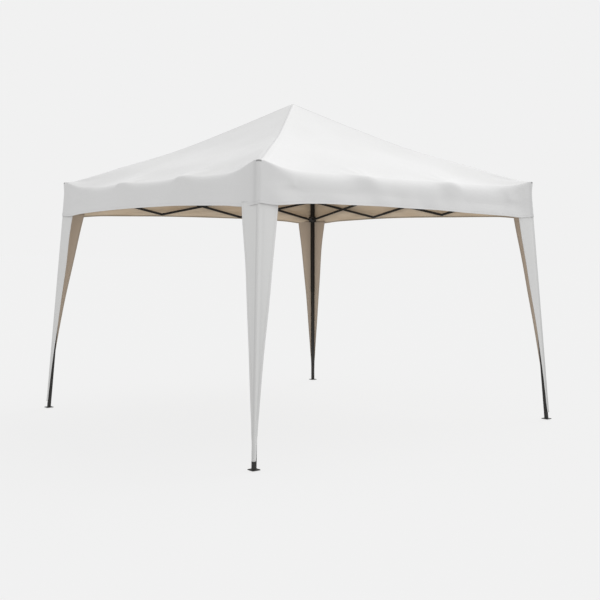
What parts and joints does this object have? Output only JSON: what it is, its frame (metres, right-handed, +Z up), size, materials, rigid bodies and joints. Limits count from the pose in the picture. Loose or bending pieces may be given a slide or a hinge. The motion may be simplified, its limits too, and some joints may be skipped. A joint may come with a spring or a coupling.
{
  "type": "pop up gazebo",
  "caption": "Square pop up canopy on slanted telescopic legs, with folding scissor trusses, roof struts, sliding corner shoes, and a white fabric roof with a valance and tapered leg covers.",
  "frame": {"origin": "on the ground, below the peak, at the middle of the feet", "axes": "+Z up; -Y is the front; the sides are square to X and Y"},
  "size_m": [3.012, 3.012, 2.552],
  "materials": {
    "coated_steel": "satin",
    "black_plastic": "matte",
    "button_plastic": "satin",
    "roof_fabric": "matte"
  },
  "bodies": {
    "bracket_front_left": {"corner_bracket_front_left": "black_plastic"},
    "bracket_front_right": {"corner_bracket_front_right": "black_plastic"},
    "bracket_back_right": {"corner_bracket_back_right": "black_plastic"},
    "bracket_back_left": {"corner_bracket_back_left": "black_plastic"},
    "front_down_bar_1": {"front_down_bar_1": "coated_steel"},
    "front_up_bar_1": {"front_up_bar_1": "coated_steel"},
    "front_down_bar_2": {"front_down_bar_2": "coated_steel"},
    "front_up_bar_2": {"front_up_bar_2": "coated_steel"},
    "front_down_bar_3": {"front_down_bar_3": "coated_steel"},
    "front_up_bar_3": {"front_up_bar_3": "coated_steel"},
    "right_down_bar_1": {"right_down_bar_1": "coated_steel"},
    "right_up_bar_1": {"right_up_bar_1": "coated_steel"},
    "right_down_bar_2": {"right_down_bar_2": "coated_steel"},
    "right_up_bar_2": {"right_up_bar_2": "coated_steel"},
    "right_down_bar_3": {"right_down_bar_3": "coated_steel"},
    "right_up_bar_3": {"right_up_bar_3": "coated_steel"},
    "left_up_bar_3": {"left_up_bar_3": "coated_steel"},
    "left_down_bar_3": {"left_down_bar_3": "coated_steel"},
    "left_up_bar_2": {"left_up_bar_2": "coated_steel"},
    "left_down_bar_2": {"left_down_bar_2": "coated_steel"},
    "left_up_bar_1": {"left_up_bar_1": "coated_steel"},
    "left_down_bar_1": {"left_down_bar_1": "coated_steel"},
    "back_up_bar_3": {"back_up_bar_3": "coated_steel"},
    "back_down_bar_3": {"back_down_bar_3": "coated_steel"},
    "back_up_bar_2": {"back_up_bar_2": "coated_steel"},
    "back_down_bar_2": {"back_down_bar_2": "coated_steel"},
    "back_up_bar_1": {"back_up_bar_1": "coated_steel"},
    "back_down_bar_1": {"back_down_bar_1": "coated_steel"},
    "slider_front_left": {"slider_front_left": "black_plastic"},
    "slider_button_front_left": {"slider_button_front_left": "button_plastic"},
    "outer_leg_front_left": {"outer_leg_front_left": "coated_steel", "leg_cover_front_left": "roof_fabric"},
    "inner_leg_front_left": {"inner_leg_front_left": "coated_steel"},
    "outer_strut_front_left": {"outer_strut_front_left": "coated_steel"},
    "slider_front_right": {"slider_front_right": "black_plastic"},
    "slider_button_front_right": {"slider_button_front_right": "button_plastic"},
    "outer_leg_front_right": {"outer_leg_front_right": "coated_steel", "leg_cover_front_right": "roof_fabric"},
    "inner_leg_front_right": {"inner_leg_front_right": "coated_steel"},
    "outer_strut_front_right": {"outer_strut_front_right": "coated_steel"},
    "slider_back_right": {"slider_back_right": "black_plastic"},
    "slider_button_back_right": {"slider_button_back_right": "button_plastic"},
    "outer_leg_back_right": {"outer_leg_back_right": "coated_steel", "leg_cover_back_right": "roof_fabric"},
    "inner_leg_back_right": {"inner_leg_back_right": "coated_steel"},
    "outer_strut_back_right": {"outer_strut_back_right": "coated_steel"},
    "slider_back_left": {"slider_back_left": "black_plastic"},
    "slider_button_back_left": {"slider_button_back_left": "button_plastic"},
    "outer_leg_back_left": {"outer_leg_back_left": "coated_steel", "leg_cover_back_left": "roof_fabric"},
    "inner_leg_back_left": {"inner_leg_back_left": "coated_steel"},
    "outer_strut_back_left": {"outer_strut_back_left": "coated_steel"},
    "inner_strut_front_left": {"inner_strut_front_left": "coated_steel"},
    "hub": {"hub": "black_plastic", "peak_cap": "black_plastic", "canopy": "roof_fabric"},
    "inner_strut_front_right": {"inner_strut_front_right": "coated_steel"},
    "inner_strut_back_right": {"inner_strut_back_right": "coated_steel"},
    "inner_strut_back_left": {"inner_strut_back_left": "coated_steel"}
  },
  "joints": [
    {"name": "fold", "type": "hinge", "parent": "bracket_front_left", "child": "front_down_bar_1", "pos_m": [-1.304, -1.339, 1.847], "axis": [0, 1, 0], "range_deg": [0, 74.6], "deforming": ["canopy", "leg_cover_front_left", "leg_cover_front_right", "leg_cover_back_right", "leg_cover_back_left"]},
    {"name": "front_up_bar_1_hinge", "type": "hinge", "parent": "front_down_bar_1", "child": "front_up_bar_1", "pos_m": [-0.86933, -1.339, 1.7595], "axis": [0, 1, 0], "range_deg": [-149.21, 0]},
    {"name": "front_down_bar_2_hinge", "type": "hinge", "parent": "front_up_bar_1", "child": "front_down_bar_2", "pos_m": [-0.43467, -1.339, 1.847], "axis": [0, 1, 0], "range_deg": [0, 149.21]},
    {"name": "front_up_bar_2_hinge", "type": "hinge", "parent": "front_down_bar_2", "child": "front_up_bar_2", "pos_m": [0, -1.339, 1.7595], "axis": [0, 1, 0], "range_deg": [-149.21, 0]},
    {"name": "front_down_bar_3_hinge", "type": "hinge", "parent": "front_up_bar_2", "child": "front_down_bar_3", "pos_m": [0.43467, -1.339, 1.847], "axis": [0, 1, 0], "range_deg": [0, 149.21]},
    {"name": "front_up_bar_3_hinge", "type": "hinge", "parent": "front_down_bar_3", "child": "front_up_bar_3", "pos_m": [0.86933, -1.339, 1.7595], "axis": [0, 1, 0], "range_deg": [-149.21, 0]},
    {"name": "bracket_front_right_hinge", "type": "hinge", "parent": "front_up_bar_3", "child": "bracket_front_right", "pos_m": [1.304, -1.339, 1.847], "axis": [0, 1, 0], "range_deg": [0, 74.61]},
    {"name": "right_down_bar_1_hinge", "type": "hinge", "parent": "bracket_front_right", "child": "right_down_bar_1", "pos_m": [1.339, -1.304, 1.847], "axis": [-1, 0, 0], "range_deg": [0, 74.61]},
    {"name": "right_up_bar_1_hinge", "type": "hinge", "parent": "right_down_bar_1", "child": "right_up_bar_1", "pos_m": [1.339, -0.86933, 1.7595], "axis": [-1, 0, 0], "range_deg": [-149.21, 0]},
    {"name": "right_down_bar_2_hinge", "type": "hinge", "parent": "right_up_bar_1", "child": "right_down_bar_2", "pos_m": [1.339, -0.43467, 1.847], "axis": [-1, 0, 0], "range_deg": [0, 149.21]},
    {"name": "right_up_bar_2_hinge", "type": "hinge", "parent": "right_down_bar_2", "child": "right_up_bar_2", "pos_m": [1.339, 0, 1.7595], "axis": [-1, 0, 0], "range_deg": [-149.21, 0]},
    {"name": "right_down_bar_3_hinge", "type": "hinge", "parent": "right_up_bar_2", "child": "right_down_bar_3", "pos_m": [1.339, 0.43467, 1.847], "axis": [-1, 0, 0], "range_deg": [0, 149.21]},
    {"name": "right_up_bar_3_hinge", "type": "hinge", "parent": "right_down_bar_3", "child": "right_up_bar_3", "pos_m": [1.339, 0.86933, 1.7595], "axis": [-1, 0, 0], "range_deg": [-149.21, 0]},
    {"name": "bracket_back_right_hinge", "type": "hinge", "parent": "right_up_bar_3", "child": "bracket_back_right", "pos_m": [1.339, 1.304, 1.847], "axis": [-1, 0, 0], "range_deg": [0, 74.61]},
    {"name": "left_up_bar_3_hinge", "type": "hinge", "parent": "bracket_front_left", "child": "left_up_bar_3", "pos_m": [-1.339, -1.304, 1.847], "axis": [1, 0, 0], "range_deg": [-74.61, 0]},
    {"name": "left_down_bar_3_hinge", "type": "hinge", "parent": "left_up_bar_3", "child": "left_down_bar_3", "pos_m": [-1.339, -0.86933, 1.7595], "axis": [1, 0, 0], "range_deg": [0, 149.21]},
    {"name": "left_up_bar_2_hinge", "type": "hinge", "parent": "left_down_bar_3", "child": "left_up_bar_2", "pos_m": [-1.339, -0.43467, 1.847], "axis": [1, 0, 0], "range_deg": [-149.21, 0]},
    {"name": "left_down_bar_2_hinge", "type": "hinge", "parent": "left_up_bar_2", "child": "left_down_bar_2", "pos_m": [-1.339, 0, 1.7595], "axis": [1, 0, 0], "range_deg": [0, 149.21]},
    {"name": "left_up_bar_1_hinge", "type": "hinge", "parent": "left_down_bar_2", "child": "left_up_bar_1", "pos_m": [-1.339, 0.43467, 1.847], "axis": [1, 0, 0], "range_deg": [-149.21, 0]},
    {"name": "left_down_bar_1_hinge", "type": "hinge", "parent": "left_up_bar_1", "child": "left_down_bar_1", "pos_m": [-1.339, 0.86933, 1.7595], "axis": [1, 0, 0], "range_deg": [0, 149.21]},
    {"name": "bracket_back_left_hinge", "type": "hinge", "parent": "left_down_bar_1", "child": "bracket_back_left", "pos_m": [-1.339, 1.304, 1.847], "axis": [1, 0, 0], "range_deg": [-74.61, 0]},
    {"name": "back_up_bar_3_hinge", "type": "hinge", "parent": "bracket_back_left", "child": "back_up_bar_3", "pos_m": [-1.304, 1.339, 1.847], "axis": [0, -1, 0], "range_deg": [-74.61, 0]},
    {"name": "back_down_bar_3_hinge", "type": "hinge", "parent": "back_up_bar_3", "child": "back_down_bar_3", "pos_m": [-0.86933, 1.339, 1.7595], "axis": [0, -1, 0], "range_deg": [0, 149.21]},
    {"name": "back_up_bar_2_hinge", "type": "hinge", "parent": "back_down_bar_3", "child": "back_up_bar_2", "pos_m": [-0.43467, 1.339, 1.847], "axis": [0, -1, 0], "range_deg": [-149.21, 0]},
    {"name": "back_down_bar_2_hinge", "type": "hinge", "parent": "back_up_bar_2", "child": "back_down_bar_2", "pos_m": [0, 1.339, 1.7595], "axis": [0, -1, 0], "range_deg": [0, 149.21]},
    {"name": "back_up_bar_1_hinge", "type": "hinge", "parent": "back_down_bar_2", "child": "back_up_bar_1", "pos_m": [0.43467, 1.339, 1.847], "axis": [0, -1, 0], "range_deg": [-149.21, 0]},
    {"name": "back_down_bar_1_hinge", "type": "hinge", "parent": "back_up_bar_1", "child": "back_down_bar_1", "pos_m": [0.86933, 1.339, 1.7595], "axis": [0, -1, 0], "range_deg": [0, 149.21]},
    {"name": "slider_front_left_hinge", "type": "hinge", "parent": "front_up_bar_1", "child": "slider_front_left", "pos_m": [-1.304, -1.339, 1.672], "axis": [0, 1, 0], "range_deg": [0, 74.61]},
    {"name": "slider_button_front_left_press", "type": "slide", "parent": "slider_front_left", "child": "slider_button_front_left", "axis": [-1, 0, 0], "range_m": [0, 0.004], "stiffness_N_per_m": 600, "springref_m": -0.003},
    {"name": "leg_tilt_front_left", "type": "hinge", "parent": "bracket_front_left", "child": "outer_leg_front_left", "pos_m": [-1.349, -1.349, 1.875], "axis": [0.7071, -0.7071, 0], "range_deg": [0, 4.22]},
    {"name": "leg_height_front_left", "type": "slide", "parent": "outer_leg_front_left", "child": "inner_leg_front_left", "axis": [0.0669, 0.0669, 0.9955], "range_m": [0, 0.8], "deforming": ["leg_cover_front_left"]},
    {"name": "outer_strut_front_left_hinge", "type": "hinge", "parent": "bracket_front_left", "child": "outer_strut_front_left", "pos_m": [-1.31223, -1.31223, 1.868], "axis": [-0.7071, 0.7071, 0], "range_deg": [0, 103.95]},
    {"name": "slider_front_right_hinge", "type": "hinge", "parent": "front_down_bar_3", "child": "slider_front_right", "pos_m": [1.304, -1.339, 1.672], "axis": [0, 1, 0], "range_deg": [-74.61, 0]},
    {"name": "slider_button_front_right_press", "type": "slide", "parent": "slider_front_right", "child": "slider_button_front_right", "axis": [0, -1, 0], "range_m": [0, 0.004], "stiffness_N_per_m": 600, "springref_m": -0.003},
    {"name": "leg_tilt_front_right", "type": "hinge", "parent": "bracket_front_right", "child": "outer_leg_front_right", "pos_m": [1.349, -1.349, 1.875], "axis": [0.7071, 0.7071, 0], "range_deg": [0, 4.22]},
    {"name": "leg_height_front_right", "type": "slide", "parent": "outer_leg_front_right", "child": "inner_leg_front_right", "axis": [-0.0669, 0.0669, 0.9955], "range_m": [0, 0.8], "deforming": ["leg_cover_front_right"]},
    {"name": "outer_strut_front_right_hinge", "type": "hinge", "parent": "bracket_front_right", "child": "outer_strut_front_right", "pos_m": [1.31223, -1.31223, 1.868], "axis": [-0.7071, -0.7071, 0], "range_deg": [0, 103.95]},
    {"name": "slider_back_right_hinge", "type": "hinge", "parent": "right_down_bar_3", "child": "slider_back_right", "pos_m": [1.339, 1.304, 1.672], "axis": [-1, 0, 0], "range_deg": [-74.61, 0]},
    {"name": "slider_button_back_right_press", "type": "slide", "parent": "slider_back_right", "child": "slider_button_back_right", "axis": [1, 0, 0], "range_m": [0, 0.004], "stiffness_N_per_m": 600, "springref_m": -0.003},
    {"name": "leg_tilt_back_right", "type": "hinge", "parent": "bracket_back_right", "child": "outer_leg_back_right", "pos_m": [1.349, 1.349, 1.875], "axis": [-0.7071, 0.7071, 0], "range_deg": [0, 4.22]},
    {"name": "leg_height_back_right", "type": "slide", "parent": "outer_leg_back_right", "child": "inner_leg_back_right", "axis": [-0.0669, -0.0669, 0.9955], "range_m": [0, 0.8], "deforming": ["leg_cover_back_right"]},
    {"name": "outer_strut_back_right_hinge", "type": "hinge", "parent": "bracket_back_right", "child": "outer_strut_back_right", "pos_m": [1.31223, 1.31223, 1.868], "axis": [0.7071, -0.7071, 0], "range_deg": [0, 103.95]},
    {"name": "slider_back_left_hinge", "type": "hinge", "parent": "left_up_bar_1", "child": "slider_back_left", "pos_m": [-1.339, 1.304, 1.672], "axis": [1, 0, 0], "range_deg": [0, 74.61]},
    {"name": "slider_button_back_left_press", "type": "slide", "parent": "slider_back_left", "child": "slider_button_back_left", "axis": [0, 1, 0], "range_m": [0, 0.004], "stiffness_N_per_m": 600, "springref_m": -0.003},
    {"name": "leg_tilt_back_left", "type": "hinge", "parent": "bracket_back_left", "child": "outer_leg_back_left", "pos_m": [-1.349, 1.349, 1.875], "axis": [-0.7071, -0.7071, 0], "range_deg": [0, 4.22]},
    {"name": "leg_height_back_left", "type": "slide", "parent": "outer_leg_back_left", "child": "inner_leg_back_left", "axis": [0.0669, -0.0669, 0.9955], "range_m": [0, 0.8], "deforming": ["leg_cover_back_left"]},
    {"name": "outer_strut_back_left_hinge", "type": "hinge", "parent": "bracket_back_left", "child": "outer_strut_back_left", "pos_m": [-1.31223, 1.31223, 1.868], "axis": [0.7071, 0.7071, 0], "range_deg": [0, 103.95]},
    {"name": "inner_strut_front_left_hinge", "type": "hinge", "parent": "outer_strut_front_left", "child": "inner_strut_front_left", "pos_m": [-0.68236, -0.68236, 2.148], "axis": [-0.7071, 0.7071, 0], "range_deg": [-173.24, 0]},
    {"name": "hub_hinge", "type": "hinge", "parent": "inner_strut_front_left", "child": "hub", "pos_m": [-0.03535, -0.03535, 2.455], "axis": [-0.7071, 0.7071, 0], "range_deg": [0, 69.29]},
    {"name": "inner_strut_front_right_hinge", "type": "hinge", "parent": "hub", "child": "inner_strut_front_right", "pos_m": [0.03535, -0.03535, 2.455], "axis": [-0.7071, -0.7071, 0], "range_deg": [-69.29, 0]},
    {"name": "inner_strut_back_right_hinge", "type": "hinge", "parent": "hub", "child": "inner_strut_back_right", "pos_m": [0.03535, 0.03535, 2.455], "axis": [0.7071, -0.7071, 0], "range_deg": [-69.29, 0]},
    {"name": "inner_strut_back_left_hinge", "type": "hinge", "parent": "hub", "child": "inner_strut_back_left", "pos_m": [-0.03535, 0.03535, 2.455], "axis": [0.7071, 0.7071, 0], "range_deg": [-69.29, 0]}
  ],
  "couplings": [
    {"joint": "front_up_bar_1_hinge", "follows": "fold", "ratio": -2},
    {"joint": "front_down_bar_2_hinge", "follows": "fold", "ratio": 2},
    {"joint": "front_up_bar_2_hinge", "follows": "fold", "ratio": -2},
    {"joint": "front_down_bar_3_hinge", "follows": "fold", "ratio": 2},
    {"joint": "front_up_bar_3_hinge", "follows": "fold", "ratio": -2},
    {"joint": "bracket_front_right_hinge", "follows": "fold", "ratio": 1},
    {"joint": "right_down_bar_1_hinge", "follows": "fold", "ratio": 1},
    {"joint": "right_up_bar_1_hinge", "follows": "fold", "ratio": -2},
    {"joint": "right_down_bar_2_hinge", "follows": "fold", "ratio": 2},
    {"joint": "right_up_bar_2_hinge", "follows": "fold", "ratio": -2},
    {"joint": "right_down_bar_3_hinge", "follows": "fold", "ratio": 2},
    {"joint": "right_up_bar_3_hinge", "follows": "fold", "ratio": -2},
    {"joint": "bracket_back_right_hinge", "follows": "fold", "ratio": 1},
    {"joint": "left_up_bar_3_hinge", "follows": "fold", "ratio": -1},
    {"joint": "left_down_bar_3_hinge", "follows": "fold", "ratio": 2},
    {"joint": "left_up_bar_2_hinge", "follows": "fold", "ratio": -2},
    {"joint": "left_down_bar_2_hinge", "follows": "fold", "ratio": 2},
    {"joint": "left_up_bar_1_hinge", "follows": "fold", "ratio": -2},
    {"joint": "left_down_bar_1_hinge", "follows": "fold", "ratio": 2},
    {"joint": "bracket_back_left_hinge", "follows": "fold", "ratio": -1},
    {"joint": "back_up_bar_3_hinge", "follows": "fold", "ratio": -1},
    {"joint": "back_down_bar_3_hinge", "follows": "fold", "ratio": 2},
    {"joint": "back_up_bar_2_hinge", "follows": "fold", "ratio": -2},
    {"joint": "back_down_bar_2_hinge", "follows": "fold", "ratio": 2},
    {"joint": "back_up_bar_1_hinge", "follows": "fold", "ratio": -2},
    {"joint": "back_down_bar_1_hinge", "follows": "fold", "ratio": 2},
    {"joint": "slider_front_left_hinge", "follows": "fold", "ratio": 1},
    {"joint": "leg_tilt_front_left", "follows": "fold", "ratio": 0.056538},
    {"joint": "outer_strut_front_left_hinge", "follows": "fold", "ratio": 1.3934},
    {"joint": "slider_front_right_hinge", "follows": "fold", "ratio": -1},
    {"joint": "leg_tilt_front_right", "follows": "fold", "ratio": 0.056538},
    {"joint": "outer_strut_front_right_hinge", "follows": "fold", "ratio": 1.3934},
    {"joint": "slider_back_right_hinge", "follows": "fold", "ratio": -1},
    {"joint": "leg_tilt_back_right", "follows": "fold", "ratio": 0.056538},
    {"joint": "outer_strut_back_right_hinge", "follows": "fold", "ratio": 1.3934},
    {"joint": "slider_back_left_hinge", "follows": "fold", "ratio": 1},
    {"joint": "leg_tilt_back_left", "follows": "fold", "ratio": 0.056538},
    {"joint": "outer_strut_back_left_hinge", "follows": "fold", "ratio": 1.3934},
    {"joint": "inner_strut_front_left_hinge", "follows": "fold", "ratio": -2.3222},
    {"joint": "hub_hinge", "follows": "fold", "ratio": 0.92879},
    {"joint": "inner_strut_front_right_hinge", "follows": "fold", "ratio": -0.92879},
    {"joint": "inner_strut_back_right_hinge", "follows": "fold", "ratio": -0.92879},
    {"joint": "inner_strut_back_left_hinge", "follows": "fold", "ratio": -0.92879}
  ]
}
